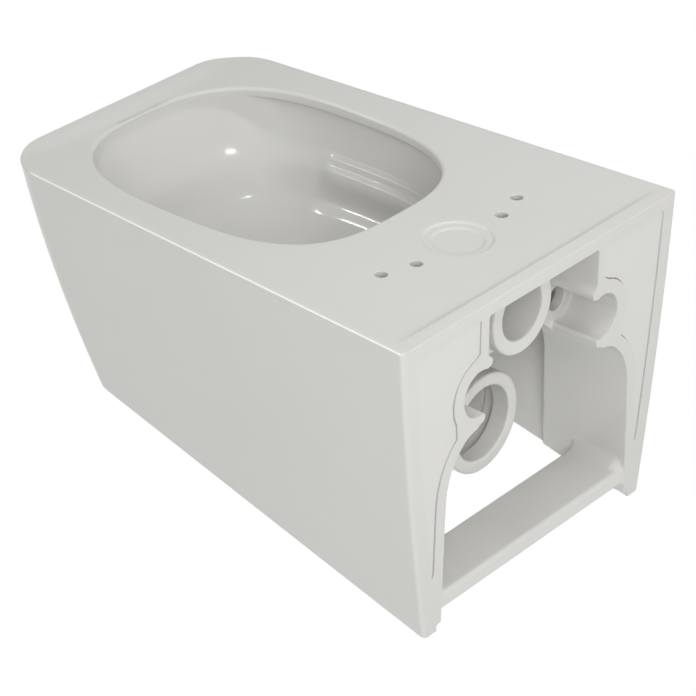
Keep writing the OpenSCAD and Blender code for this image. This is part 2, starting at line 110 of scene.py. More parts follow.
def side_path(d, inset, rear_r, counts=(14, 26, 70, 6), rear_gap=0.0):
    """One side of the outline at depth d, from the middle of the front to the rear corner.
    The counts are the points along the front, its corner, the side and the rear corner."""
    n_front, n_corner, n_side, n_rear = counts
    r = max(corner_r(d) - inset, 4.0)
    cy = front_y(d) + inset + r
    cx = half_w(cy, d) - inset / math.cos(TAPER) - r / math.cos(TAPER)
    rear_at = -rear_gap - rear_r
    rx = half_w(rear_at, d) - inset / math.cos(TAPER) - rear_r / math.cos(TAPER)
    points = [(cx * i / n_front, cy - r) for i in range(n_front)]
    for i in range(n_corner + 1):
        a = -math.pi / 2 + (math.pi / 2 - TAPER) * i / n_corner
        points.append((cx + r * math.cos(a), cy + r * math.sin(a)))
    ax, ay = points[-1]
    bx = rx + rear_r * math.cos(-TAPER)
    by = rear_at + rear_r * math.sin(-TAPER)
    for i in range(1, n_side):
        u = i / n_side
        points.append((ax + (bx - ax) * u, ay + (by - ay) * u))
    for i in range(n_rear + 1):
        a = -TAPER + (math.pi / 2 + TAPER) * i / n_rear
        points.append((rx + rear_r * math.cos(a), rear_at + rear_r * math.sin(a)))
    return points


print("half width at the wall", half_w(0, 0), "mm, at the front", round(half_w(-LENGTH, 0), 1))

# %% [markdown]
# ## Making meshes from grids
# Nearly every surface of the pan is a grid of points: rings of points stacked down the
# bowl, or a band of points that runs round the deck. One helper turns such a grid into a
# mesh. Closing it round both ways gives a ring, and closing it one way with a cap at each
# end gives a solid plug, which is what the cutting tools are made from.

# %% grid helper


def metres(points):
    """Points in millimetres with a depth, as metres in the frame that the CAD uses."""
    p = np.array(points, float).reshape(-1, 3)
    return np.column_stack([p[:, 0], p[:, 1], STUD_DROP - p[:, 2]]) / 1000.0


def new_object(name, verts, faces):
    """An object in the scene, with a mesh made from points in metres."""
    mesh = bpy.data.meshes.new(name)
    mesh.from_pydata([tuple(v) for v in verts], [], faces)
    mesh.update()
    thing = bpy.data.objects.new(name, mesh)
    bpy.context.scene.collection.objects.link(thing)
    return thing


def turn_outward(thing):
    """Merges doubled points and turns every face of a closed solid outward."""
    work = bmesh.new()
    work.from_mesh(thing.data)
    bmesh.ops.remove_doubles(work, verts=work.verts, dist=2e-6)
    bmesh.ops.recalc_face_normals(work, faces=work.faces)
    work.to_mesh(thing.data)
    work.free()
    return thing


def grid_solid(name, rows, ring_of_rows=False):
    """A solid from rows of points. Each row is a closed loop. The last row joins the
    first one if ring_of_rows is set, and otherwise both ends are capped."""
    n, m = len(rows[0]), len(rows)
    verts = metres([p for row in rows for p in row])
    faces = []
    for j in range(m if ring_of_rows else m - 1):
        k = (j + 1) % m
        for i in range(n):
            i2 = (i + 1) % n
            faces.append((j * n + i, j * n + i2, k * n + i2, k * n + i))
    if not ring_of_rows:
        faces.append(tuple(reversed(range(n))))
        faces.append(tuple((m - 1) * n + i for i in range(n)))
    return turn_outward(new_object(name, verts, faces))


def prism(name, outline, y_from, y_to):
    """An outline seen from the wall, as (x, depth) pairs, pushed through from y to y."""
    rows = [[(x, y, d) for x, d in outline] for y in (y_from, y_to)]
    return grid_solid(name, rows)


def bake(thing):
    """Replaces a piece's mesh by what its modifiers make of it."""
    scene_state = bpy.context.evaluated_depsgraph_get()
    made = bpy.data.meshes.new_from_object(thing.evaluated_get(scene_state))
    thing.modifiers.clear()
    thing.data = made


def carve(thing, tool, operation="DIFFERENCE", keep_tool=False):
    """Cuts a solid by a tool, or with INTERSECT keeps only what lies inside the tool."""
    cut = thing.modifiers.new("carve", "BOOLEAN")
    cut.operation = operation
    cut.object = tool
    cut.solver = "MANIFOLD"
    bake(thing)
    if not keep_tool:
        bpy.data.objects.remove(tool)


print("helpers ready")

# %% [markdown]
# ## The deck
# The deck is a slab with a shallow dish in its top, so that splashes run to the bowl and
# not over the side. A narrow lip stands along the wall edge and dies out at the corners.
# The slab could be cut from a block, but then its top would be a patchwork of triangles.
# Here one band of points runs from the bowl opening across the top, over the outer edge
# and back underneath, so the glaze gets clean, even faces to shine on.

# %% dish in the deck
DISH_DEPTH = 5.0
DISH_HALF_W = 193.5
DISH_MARGIN = 6.0
DISH_ARC = 3
DISH_BLEND = 1.5
FRONT_FLAT, FRONT_RUN = 2.0, 37.0
LIP_W, LIP_CREST, LIP_FOOT = 13.0, 3.0, 11.0
LIP_BACK, LIP_BACK_W, LIP_BACK_END = 0.3, 8.0, 24
NARROWING = (half_w(-LENGTH, 0) - DISH_MARGIN) / DISH_HALF_W


def smooth_step(u):
    """Runs softly from 0 to 1 while u runs from 0 to 1."""
    u = min(1.0, max(0.0, u))
    return u * u * (3 - 2 * u)


def soft_min(a, b, k):
    """The smaller of two values, with a blend of about k where they meet."""
    h = min(1.0, max(0.0, 0.5 + 0.5 * (b - a) / k))
    return b + (a - b) * h - k * h * (1 - h)


def lip_fall(w):
    """The share of the drop in front of the lip. It is steepest just past the crest."""
    steepest = 1 / (LIP_CREST / 2 + LIP_FOOT / 3)
    if w < LIP_CREST:
        return steepest * max(0.0, w) ** 2 / (2 * LIP_CREST)
    v = min(1.0, (w - LIP_CREST) / LIP_FOOT)
    return steepest * (LIP_CREST / 2 + LIP_FOOT / 3 * (1 - (1 - v) ** 3))


def dish(x, y):
    """Depth of the deck's surface under its highest edge."""
    s = 1 + (1 - NARROWING) * y / LENGTH
    arc = DISH_DEPTH * s * (1 - abs(x / (DISH_HALF_W * s)) ** DISH_ARC) * lip_fall(-y - LIP_W)
    front = DISH_DEPTH * smooth_step((y + LENGTH - FRONT_FLAT) / FRONT_RUN)
    along_wall = smooth_step((half_w(0, 0) - REAR_R - abs(x)) / LIP_BACK_END)
    back = LIP_BACK * max(0.0, 1 + y / LIP_BACK_W) ** 2 * along_wall
    return max(0.0, soft_min(arc, front, DISH_BLEND)) + back


print("dish in the middle", round(dish(0, -100), 2), "mm deep")

# %% bowl opening
OPEN_HALF_W = 134.5
OPEN_REAR = -175.0
OPEN_FRONT = -LENGTH + 33.0
OPEN_ROLL = 4.0
OPEN_MID = (OPEN_REAR + OPEN_FRONT) / 2
SQUARE_FRONT, SQUARE_REAR = 2.7, 3.0


def squareness(s):
    """The corners of the oval are rounder at the front, where the sine s is below zero."""
    return SQUARE_FRONT if s < 0 else SQUARE_REAR


def oval(t, half, y_front, y_rear):
    """A point of a rounded square oval at the angle t."""
    c, s = math.cos(t), math.sin(t)
    n = squareness(s)
    mid, reach = (y_front + y_rear) / 2, (y_rear - y_front) / 2
    return (
        half * math.copysign(abs(c) ** (2 / n), c),
        mid + reach * math.copysign(abs(s) ** (2 / n), s),
    )


def oval_toward(angle, grow):
    """The point of the bowl opening that lies at a polar angle round its middle."""
    half, reach = OPEN_HALF_W + grow, (OPEN_REAR - OPEN_FRONT) / 2 + grow
    c, s = math.cos(angle), math.sin(angle)
    n = squareness(s)
    r = (abs(c / half) ** n + abs(s / reach) ** n) ** (-1 / n)
    return r * c, OPEN_MID + r * s


print("bowl opening", 2 * OPEN_HALF_W, "x", OPEN_REAR - OPEN_FRONT, "mm")

# %% deck slab
BASE_INSET = 32.0  # nearer to the outer edge than this, the rows run parallel to it
TOP_STEPS = 30
WALL_EDGE_STEPS = 44


def whole_loop(side):
    """A side path and its mirror image, as one closed loop."""
    left = [(-x, y) for x, y in reversed(side)]
    return side + [p for p in left if abs(p[0]) > 1e-6]


def deck_outline(d, inset, rear_gap=0.0):
    """The deck's outline as a closed loop, with points along the wall edge as well."""
    side = side_path(d, inset, max(REAR_R - inset, 0.4), rear_gap=rear_gap)
    x_end, y_end = side[-1]
    rear = [(x_end * (1 - i / WALL_EDGE_STEPS), y_end) for i in range(1, WALL_EDGE_STEPS)]
    return whole_loop(side + rear + [(0.0, y_end)])


def rounded_edge(x, y, d, gap):
    """A point of the rounded outer edge. Along the wall its radius is smaller."""
    if y > -gap - 0.01:
        share = REAR_EDGE_R / EDGE_R
        y, d = y * share, d * share
    return x, y, d + dish(x, y)


def part_way(a, b, u):
    """The point at the share u of the way from a to b."""
    return a[0] + (b[0] - a[0]) * u, a[1] + (b[1] - a[1]) * u


def deck_rows():
    """Loops up through the opening, across the top, over the outer edge and underneath."""
    base = deck_outline(0, BASE_INSET, BASE_INSET)
    angles = [math.atan2(y - OPEN_MID, x) for x, y in base]
    start = [oval_toward(a, OPEN_ROLL) for a in angles]
    rows = []
    for grow, d in ((1.5, DECK_T), (0.6, DECK_T - 0.5), (0.0, DECK_T - 1.6)):
        rows.append([(*oval_toward(a, grow), d) for a in angles])
    for a in (8, 20, 32, 44, 56, 68, 79):
        t = math.radians(a)
        grow, sink = OPEN_ROLL * (1 - math.cos(t)), OPEN_ROLL * (1 - math.sin(t))
        rows.append([(*oval_toward(angle, grow), dish(*p) + sink) for angle, p in zip(angles, start)])
    for j in range(TOP_STEPS):
        row = [part_way(a, b, j / TOP_STEPS) for a, b in zip(start, base)]
        rows.append([(x, y, dish(x, y)) for x, y in row])
    # then parallel to the outer edge, close together where the lip falls away
    for inset in (*np.arange(BASE_INSET, 11.5, -0.6), 10.5, 9, 7.5, 6, 5, 3.8, 2.6):
        rows.append([(x, y, dish(x, y)) for x, y in deck_outline(0, inset, inset)])
    for a in (0, 12, 24, 36, 48, 60, 75, 90):
        t = math.radians(a)
        d, gap = EDGE_R * (1 - math.cos(t)), EDGE_R * (1 - math.sin(t))
        rows.append([rounded_edge(x, y, d, gap) for x, y in deck_outline(d, gap, gap)])
    for d in (7.0, 10.0, DECK_T):
        rows.append([(x, y, d) for x, y in deck_outline(d, 0)])
    low, rim = rows[0], rows[-1]
    for u in (0.3, 0.6, 0.85):
        rows.append([(*part_way(a, b, u), DECK_T) for a, b in zip(rim, low)])
    return rows


deck = grid_solid("pan_deck", deck_rows(), ring_of_rows=True)
print("deck", len(deck.data.polygons), "faces")

# %% [markdown]
# ## Holes for the seat hinges
# The four hinge holes are punched while the clay is soft, and the glaze rounds their upper
# edges. They repeat one tool at four places, which is what Geometry Nodes are good at: a
# tree puts one flared punch on every point of a small cloud, and the result is baked into
# a mesh and taken away from the deck.

# %% hinge hole punches with Geometry Nodes
HINGE_R = 6.0
HINGE_ROLL = 1.0
PUNCH_LIFT, PUNCH_DEPTH = 0.15, 22.0
HINGE_HOLES = [(-61.5, -98.5), (61.5, -98.5), (-97.5, -109), (97.5, -109)]


def revolve(name, profile, steps=64, at=(0, 0, 0), along="z"):
    """A solid of revolution from (radius, depth) pairs, about an upright or a level axis."""
    rows = []
    for i in range(steps):
        a = 2 * math.pi * i / steps
        if along == "z":
            rows.append([(at[0] + r * math.cos(a), at[1] + r * math.sin(a), at[2] + d) for r, d in profile])
        else:
            rows.append([(at[0] + r * math.cos(a), at[1] + d, at[2] + r * math.sin(a)) for r, d in profile])
    return grid_solid(name, rows, ring_of_rows=True)


def punch_tree():
    """A tree that puts one tool on every point and makes real geometry of the copies."""
    tree = bpy.data.node_groups.new("punch_on_points", "GeometryNodeTree")
    face = tree.interface
    face.new_socket("Points", in_out="INPUT", socket_type="NodeSocketGeometry")
    face.new_socket("Punch", in_out="INPUT", socket_type="NodeSocketObject")
    face.new_socket("Punch Size", in_out="INPUT", socket_type="NodeSocketFloat")
    face.new_socket("Glaze", in_out="INPUT", socket_type="NodeSocketMaterial")
    face.new_socket("Punches", in_out="OUTPUT", socket_type="NodeSocketGeometry")
    n = tree.nodes
    start, end = n.new("NodeGroupInput"), n.new("NodeGroupOutput")
    tool = n.new("GeometryNodeObjectInfo")
    place = n.new("GeometryNodeInstanceOnPoints")
    real = n.new("GeometryNodeRealizeInstances")
    coat = n.new("GeometryNodeSetMaterial")
    link = tree.links.new
    link(start.outputs["Punch"], tool.inputs["Object"])
    link(start.outputs["Points"], place.inputs["Points"])
    link(tool.outputs["Geometry"], place.inputs["Instance"])
    link(start.outputs["Punch Size"], place.inputs["Scale"])
    link(place.outputs["Instances"], real.inputs["Geometry"])
    link(real.outputs["Geometry"], coat.inputs["Geometry"])
    link(start.outputs["Glaze"], coat.inputs["Material"])
    link(coat.outputs["Geometry"], end.inputs["Punches"])
    return tree


def set_input(modifier, tree, name, value):
    """Sets the input of a tree that has the given name."""
    for item in tree.interface.items_tree:
        if item.item_type == "SOCKET" and item.in_out == "INPUT" and item.name == name:
            modifier[item.identifier] = value


def flared_punch(name, radius, roll, depth):
    """A punch whose upper end flares, so that the edge it leaves is rolled."""
    profile = [(0.0, depth), (radius, depth), (radius, roll)]
    for a in (15, 30, 45, 60, 75, 88):
        t = math.radians(a)
        profile.append((radius + roll * (1 - math.cos(t)), roll * (1 - math.sin(t))))
    profile += [(radius + roll * 1.02, -0.6), (radius + roll * 1.02, -6.0), (0.0, -6.0)]
    return revolve(name, profile, 48)


TREE = punch_tree()


def placed_copies(name, tool, places):
    """Copies of a tool at several places, as one mesh. The tool is drawn at depth zero and
    is moved down to the origin first, so that each copy lands at its own depth."""
    tool.data.transform(Matrix.Translation((0, 0, -STUD_DROP / 1000)))
    cloud = new_object(name, metres(places), [])
    grow = cloud.modifiers.new("copies", "NODES")
    grow.node_group = TREE
    set_input(grow, TREE, "Punch", tool)
    set_input(grow, TREE, "Punch Size", 1.0)
    bake(cloud)
    bpy.data.objects.remove(tool)
    return turn_outward(cloud)


punch = flared_punch("hinge_punch", HINGE_R, HINGE_ROLL, PUNCH_DEPTH)
hinge_places = [(x, y, dish(x, y) - PUNCH_LIFT) for x, y in HINGE_HOLES]
carve(deck, placed_copies("hinge_points", punch, hinge_places))
print("deck with hinge holes", len(deck.data.polygons), "faces")

# %% [markdown]
# ## The blind round recess
# Between the hinge holes lies a round mark with two soft steps. It is cast into the deck,
# and the glaze has filled its corners. One revolved tool with a softened profile cuts it.

# %% recess
RECESS_Y = -100.5
RECESS_STEPS = [
    (21.8, 3.78), (23.2, 3.6), (24.2, 3.2), (24.9, 2.7), (25.5, 2.25), (26.5, 2.05), (30.4, 2.0),
    (31.5, 1.85), (32.3, 1.4), (32.9, 0.8), (33.4, 0.35), (34.0, 0.08), (34.7, -0.05), (35.3, -0.4),
]
recess_floor = dish(0, RECESS_Y)
recess_profile = [(0.0, 3.8), *RECESS_STEPS, (35.3, -5.0), (0.0, -5.0)]
carve(deck, revolve("recess_tool", recess_profile, 96, at=(0, RECESS_Y, recess_floor)))
print("deck with recess", len(deck.data.polygons), "faces")

# %% [markdown]
# ## The skirt
# The two side walls and the front wall are one U shaped shell. Its lower edge slopes up
# toward the front. Every column of points runs from the deck down to that sloping edge,
# so no cutting is needed and the walls stay smooth.

# %% skirt shell
SKIRT_STEPS = 40
LOW_ROLL = 0.8
SETTLING_TURNS = 6
SIDE_POINTS = len(side_path(0, 0, REAR_R))


def lowest(y):
    """Depth of the sloping lower edge."""
    return HEIGHT + BOTTOM_RISE * y


def skirt_ring(share, inset_out, inset_in, trim):
    """A closed loop round the U at a share of the way down, outer face and inner face. Where
    a point lies depends on its depth and the other way round, so both are found in turns."""
    loops = []
    for inset, rear_r in ((inset_out, REAR_R), (inset_in, 0.05)):
        d_at = [DECK_T + share * (HEIGHT - DECK_T)] * SIDE_POINTS
        for _ in range(SETTLING_TURNS):
            side = []
            cache = {}
            for i, d in enumerate(d_at):
                key = round(d, 3)
                if key not in cache:
                    cache[key] = side_path(d, inset, rear_r)
                side.append((*cache[key][i], d))
            d_at = [DECK_T + share * (lowest(y) - trim - DECK_T) for _, y, _ in side]
        loops.append([(-x, y, d) for x, y, d in reversed(side)][:-1] + side)
    return loops[0] + loops[1][::-1]


print("points along one side:", SIDE_POINTS)
skirt_rows = [skirt_ring(i / SKIRT_STEPS, 0.0, WALL, LOW_ROLL) for i in range(SKIRT_STEPS + 1)]
for a in (30, 60, 90):
    t = math.radians(a)
    shift = LOW_ROLL * (1 - math.cos(t))
    skirt_rows.append(skirt_ring(1.0, shift, WALL - shift, LOW_ROLL * (1 - math.sin(t))))
skirt = grid_solid("pan_skirt", skirt_rows)
print("skirt", len(skirt.data.polygons), "faces")

# %% [markdown]
# ## The bowl
# The bowl starts a little behind the rim, drops steeply at the back and slopes gently at
# the front, and ends in a round sump that leads to the trap. Three ledges along each side
# wall guide the flush water. The shape is a stack of ovals that turn slowly into circles;
# a smooth curve through the stations gives every height in between.

# %% bowl stations
LEDGES = (58.7, 68.0, 108.0)
LEDGE_W, LOW_LEDGE_W = 5.5, 6.0
LEDGE_END, LEDGE_FADE = -384.0, 28
BOWL_WALL = 8.5
BOWL_TOP = 9.4
BOWL_W = OPEN_HALF_W + 6.0
BOWL_REAR = OPEN_REAR + 6.0
BOWL_FRONT = OPEN_FRONT + 1.0
SUMP_Y, SUMP_DEPTH, TRAP_R = -250.0, 192.0, 26.0
BOWL_LEN = BOWL_REAR - BOWL_FRONT


def station(d, width, front, rear, rounding):
    """A level of the bowl, from shares of its half width and of its length."""
    return d, width * BOWL_W, BOWL_FRONT + front * BOWL_LEN, BOWL_REAR - rear * BOWL_LEN, rounding


STATIONS = np.array([
    station(BOWL_TOP, 1, -0.0025, 0, 0),
    station(16, 1, 0.001, 0, 0),
    station(27, 1, 0.015, 0, 0),
    station(55, 0.978, 0.058, 0.004, 0),
    station(68, 0.96, 0.085, 0.01, 0),
    station(88, 0.922, 0.125, 0.03, 0.05),
    station(109, 0.857, 0.178, 0.07, 0.1),
    station(132, 0.73, 0.262, 0.107, 0.25),
    station(154, 0.559, 0.378, 0.128, 0.5),
    station(172, 0.381, 0.518, 0.143, 0.75),
    (SUMP_DEPTH - 6, TRAP_R + 9, SUMP_Y - TRAP_R - 9, SUMP_Y + TRAP_R + 2, 0.95),
    (SUMP_DEPTH, TRAP_R, SUMP_Y - TRAP_R, SUMP_Y + TRAP_R, 1),
], float)


def steady_slopes(x, y):
    """Slopes for a curve through the points that never overshoots between them."""
    h, step = np.diff(x), np.diff(y) / np.diff(x)
    slope = np.zeros(len(x))
    slope[0], slope[-1] = step[0], step[-1]
    for i in range(1, len(x) - 1):
        if step[i - 1] * step[i] > 0:
            w1, w2 = 2 * h[i] + h[i - 1], h[i] + 2 * h[i - 1]
            slope[i] = (w1 + w2) / (w1 / step[i - 1] + w2 / step[i])
    return slope


STATION_SLOPES = [steady_slopes(STATIONS[:, 0], STATIONS[:, k]) for k in range(1, 5)]


def station_at(d):
    """Half width, front, rear and roundness of the bowl at a depth."""
    x = STATIONS[:, 0]
    i = int(min(max(np.searchsorted(x, d) - 1, 0), len(x) - 2))
    h = x[i + 1] - x[i]
    u = (d - x[i]) / h
    out = []
    for k in range(1, 5):
        y, m = STATIONS[:, k], STATION_SLOPES[k - 1]
        out.append(
            (2 * u**3 - 3 * u**2 + 1) * y[i] + (u**3 - 2 * u**2 + u) * h * m[i]
            + (3 * u**2 - 2 * u**3) * y[i + 1] + (u**3 - u**2) * h * m[i + 1]
        )
    return out


print("bowl half width 100 mm down:", round(station_at(100)[0], 1))

# %% bowl shell
BOWL_N = 240
CORNER_SPREAD = 0.12  # moves points toward the rounded corners, where the wall bends most
RUN_ON_Y, RUN_ON_LENGTH = -475, 55
RUN_ON_GAP, RUN_ON_SLOPE = 0.2, 0.1


def ledge_in(d, soft):
    """How far the side walls stand in at a depth, for the three ledges."""
    first_at, second_at, third_at = LEDGES
    first = LEDGE_W * smooth_step((d - first_at + soft) / (2 * soft))
    second = LEDGE_W * smooth_step((d - second_at + soft) / (2 * soft))
    fall = 2 * LEDGE_W * smooth_step((d - second_at - 4) / 34)
    third = LOW_LEDGE_W * smooth_step((d - third_at + 6.0) / 12.0)
    third *= 1 - smooth_step((d - third_at - 6) / 40)
    return first + second - fall + third


def plain_ring(d, thick):
    """A level of the bowl without ledges. A thickness gives the outer face."""
    half, yf, yr, rounding = station_at(min(d, SUMP_DEPTH))
    ring = []
    for i in range(BOWL_N):
        t = 2 * math.pi * i / BOWL_N
        t += CORNER_SPREAD * math.sin(4 * t) * (1 - rounding)
        x1, y1 = oval(t, half + thick, yf - thick, yr + thick)
        x2 = (half + thick) * math.cos(t)
        y2 = (yf + yr) / 2 + ((yr - yf) / 2 + thick) * math.sin(t)
        ring.append((x1 + (x2 - x1) * rounding, y1 + (y2 - y1) * rounding, d))
    return np.array(ring)


def run_on_from_rim(ring, d, thick):
    """Toward the front the wall runs on from the rim, with no undercut."""
    for point in ring:
        front = 1 - smooth_step((point[1] - RUN_ON_Y) / RUN_ON_LENGTH)
        if front > 0:
            angle = math.atan2(point[1] - OPEN_MID, point[0])
            grow = thick - RUN_ON_GAP - RUN_ON_SLOPE * (d - BOWL_TOP)
            rim_x, rim_y = oval_toward(angle, grow)
            far_out = math.hypot(point[0], point[1] - OPEN_MID)
            limit = math.hypot(rim_x, rim_y - OPEN_MID)
            scale = 1 - front * max(0.0, 1 - limit / far_out)
            point[0] *= scale
            point[1] = OPEN_MID + (point[1] - OPEN_MID) * scale


def add_ledges(ring, d):
    """Moves the inner face inward for the ledges, which fade out toward the front."""
    half, yf, yr, _ = station_at(d)
    along = np.roll(ring, -1, axis=0) - np.roll(ring, 1, axis=0)
    along /= np.linalg.norm(along, axis=1)[:, None]
    for point, (ax, ay, _) in zip(ring, along):
        at_rear = point[1] > (yf + yr) / 2
        rear_end = min(1.0, abs(point[0]) / (0.8 * half)) ** 0.5 if at_rear else 1.0
        side = smooth_step((point[1] - LEDGE_END) / LEDGE_FADE)
        share = (0.25 + 0.75 * side) * rear_end
        point[:2] += np.array([-ay, ax]) * ledge_in(d, 1.8 + 8 * (1 - side)) * share


def bowl_ring(d, thick):
    ring = plain_ring(d, thick)
    run_on_from_rim(ring, d, thick)
    if thick == 0:
        add_ledges(ring, d)
    return ring


depths = np.concatenate([
    np.arange(BOWL_TOP, 52, 2.5), np.arange(52.5, 56.5, 1.0), np.arange(57, 71, 0.35),
    np.arange(72, 118, 1.2), np.arange(118.5, 182, 2.0), np.linspace(182.5, SUMP_DEPTH, 12),
])
bowl_rows = [bowl_ring(d, 0) for d in depths]
bowl_rows += [bowl_ring(d, BOWL_WALL) for d in np.linspace(SUMP_DEPTH, BOWL_TOP, 60)]
bowl = grid_solid("pan_bowl", bowl_rows, ring_of_rows=True)
print("bowl", len(bowl.data.polygons), "faces")

# %% [markdown]
# ## The flush slots
# Water enters the bowl through three slots under the rear rim. They are three copies of
# one rounded box, so the same tree places them on three points.

# %% flush slots


def rounded_box(name, width, height, length, r):
    """A box that lies along y, with four rounded long edges."""
    outline = []
    for cx, cz, a0 in ((width / 2 - r, height / 2 - r, 0), (-width / 2 + r, height / 2 - r, 90),
                       (-width / 2 + r, -height / 2 + r, 180), (width / 2 - r, -height / 2 + r, 270)):
        for i in range(5):
            a = math.radians(a0 + 22.5 * i)
            outline.append((cx + r * math.cos(a), cz + r * math.sin(a)))
    return prism(name, outline, -length / 2, length / 2)


SLOT_W, SLOT_H, SLOT_SPACING = 32, 14, 46
SLOT_Y, SLOT_DEPTH = -165, 46
SLOT_REACH, SLOT_CORNER_R = 60, 4
slot_tool = rounded_box("slot_tool", SLOT_W, SLOT_H, SLOT_REACH, SLOT_CORNER_R)
slot_places = [(x, SLOT_Y, SLOT_DEPTH) for x in (-SLOT_SPACING, 0, SLOT_SPACING)]
carve(bowl, placed_copies("slot_points", slot_tool, slot_places))
print("bowl with slots", len(bowl.data.polygons), "faces")

# %% [markdown]
# ## The wall side
# Two uprights stand against the wall. Each has an open round channel for a wall stud, an
# arch under it and a shallow pocket in its face. Between them lie the bulkhead that the
# fixings pull on, the port for the flush water, the waste outlet and a sill. On the real
# pan all of this is cast together, so its inner corners are soft. The pieces are drawn as
# plain solids first, then melted together by a fine voxel remesh and a little smoothing.

# %% outlines of the uprights
STUD_X = 90.0
CHANNEL_R = 23.0
CHANNEL_DEPTH = 53.0
BULKHEAD_T = 12
STUD_HOLE_R = 12.5
PILLAR_DEPTH = 100.0
PILLAR_X = 80.0
OPENING_W = 136.0
FOOT_X = 140.0
ARCH_TOP, ARCH_H = 123.0, 62.0
TOP_FILLET = 3
POCKET_EDGE, POCKET_DEPTH = 13.0, 1.3
GROOVE_W, GROOVE_DEPTH = 0.95, 5.0
HIDE = 6.0  # how far a piece runs on inside its neighbour, so that no seam shows
FLUSH = 0.05
PAST_WALL = 0.9  # the uprights are cut back from here, so that their rims stay fairly crisp


def arch_point(a, g):
    """A point of the curve under the channel, moved outward by g."""
    t = math.radians(a)
    return STUD_X + (OPENING_W - STUD_X + g) * math.cos(t), ARCH_TOP + ARCH_H - (ARCH_H + g) * math.sin(t)


def round_corner(p, q, s, r, n=5):
    """The corner q of the path p, q, s, rounded to the radius r."""
    p, q, s = (np.array(v, float) for v in (p, q, s))
    a, b = (p - q) / np.linalg.norm(p - q), (s - q) / np.linalg.norm(s - q)
    half = math.acos(max(-1, min(1, float(a @ b)))) / 2
    reach = r / math.tan(half)
    middle = q + (a + b) / np.linalg.norm(a + b) * r / math.sin(half)
    u, v = q + a * reach - middle, q + b * reach - middle
    points = []
    for i in range(n + 1):
        w = u * (1 - i / n) + v * (i / n)
        points.append(tuple(middle + w / np.linalg.norm(w) * r))
    return points


def soft_path(points, radii):
    """A path with each corner rounded to its own radius. Zero leaves a corner sharp."""
    out = []
    for i, (p, r) in enumerate(zip(points, radii)):
        if r and 0 < i < len(points) - 1:
            out += round_corner(points[i - 1], p, points[i + 1], r)
        else:
            out.append(tuple(p))
    return out


def upright_outline():
    """The left upright seen from the wall, as pairs of x and depth."""
    x, r = PILLAR_X, TOP_FILLET
    top = [(x - r, DECK_T - HIDE), (x - r, DECK_T)]
    for a in (20, 45, 70):
        t = math.radians(a)
        top.append((x - r + r * math.sin(t), DECK_T + r - r * math.cos(t)))
    top.append((x, DECK_T + r))
    hook_corners = [(x, 40), (x, 53.5), (x - 6.5, 59), (x - 5.2, 65.5), (x + 1.5, 66.5)]
    hook = soft_path(hook_corners, [0, 7, 3, 2.4, 0])
    channel = []
    for a in np.linspace(-114, 106, 44):
        t = math.radians(a)
        channel.append((STUD_X + CHANNEL_R * math.cos(t), STUD_DROP + CHANNEL_R * math.sin(t)))
    lip = soft_path([(83.7, 110.0), (82.3, 114.5), (83.6, 119.0), (90.0, 120.5)], [0, 2.0, 2.2, 0])
    arch = [arch_point(a, 0) for a in range(86, -1, -4)]
    edge = [(137.2, 215), (138.8, 270), (139.9, 300)]
    pad = [(140.0, 306.3), (140.8, 307), (145.8, 307), (146.5, 307.8), (146.5, 316)]
    return top + hook[1:] + channel + lip[1:] + arch + edge + pad + [(215, 316), (215, DECK_T - HIDE)]


def pocket_outline():
    """The left upright's pocket. It follows the opening, and then the side wall upward."""
    ring_r = CHANNEL_R + POCKET_EDGE + 0.8
    inner_x = PILLAR_X + POCKET_EDGE - 2
    points = [(inner_x, 10), (inner_x, STUD_DROP - ring_r - 4)]
    for a in range(76, -31, -7):
        t = math.radians(a)
        points.append((STUD_X + ring_r * math.cos(t), STUD_DROP - ring_r * math.sin(t)))
    points += [arch_point(a, POCKET_EDGE) for a in range(58, -1, -6)]
    for x, d in ((11.0, 246), (11.6, 250.4), (13.3, 252.6), (15.0, 251)):
        points.append((FOOT_X + x, d))
    return points + [(half_w(0, d) - WALL - 0.1, d) for d in (240, 200, 160, 120, 80, 40, 10)]


print("upright outline", len(upright_outline()), "points")

# %% uprights


def inside_skirt(inset):
    """The room inside the walls, as a plug. A smaller inset runs into the walls."""
    levels = [DECK_T - HIDE - 1, 40, 80, 120, 160, 200, 240, 280, 330]
    rows = []
    for d in levels:
        side = side_path(d, inset, 0.05, (2, 10, 2, 1))
        side = side[:-2] + [(half_w(20, d) - inset, 20)]
        rows.append([(x, y, d) for x, y in whole_loop(side)])
    return grid_solid("room", rows)


def floor_plug():
    """Everything under the sloping lower edge, a hair higher than the skirt's own edge."""
    outline = [(30, lowest(30) - FLUSH), (-620, lowest(-620) - FLUSH), (-620, 420), (30, 420)]
    rows = [[(x, y, d) for y, d in outline] for x in (-260, 260)]
    return grid_solid("floor_plug", rows)


def mirrored(outline):
    """The same outline on the other side of the pan."""
    return [(-x, d) for x, d in outline]


uprights = []
for side, outline in (("left", upright_outline()), ("right", mirrored(upright_outline()))):
    upright = prism("pan_" + side + "_upright", outline, PAST_WALL, -PILLAR_DEPTH)
    carve(upright, inside_skirt(WALL - HIDE), "INTERSECT")
    carve(upright, floor_plug())
    uprights.append(upright)
print("uprights", [len(u.data.polygons) for u in uprights])

# %% bulkhead, sill, horn and outlet
INLET_D, INLET_R, INLET_OUT = 52.0, 29.0, 43.0
INLET_FACE, INLET_END, HORN_ROOM_R = -24, -118, 35
OUTLET_D, OUTLET_R, OUTLET_IN, OUTLET_STEP = 187.5, 51.0, 38.0, 45.0
OUTLET_FACE, OUTLET_END, OUTLET_STEP_Y = -65, -100, -86
SILL_TOP, SILL_LOW, SILL_REAR, SILL_DEPTH = 278.7, 295.5, -2.5, 62.0
NOSING = 4
FILL_X = 139.5


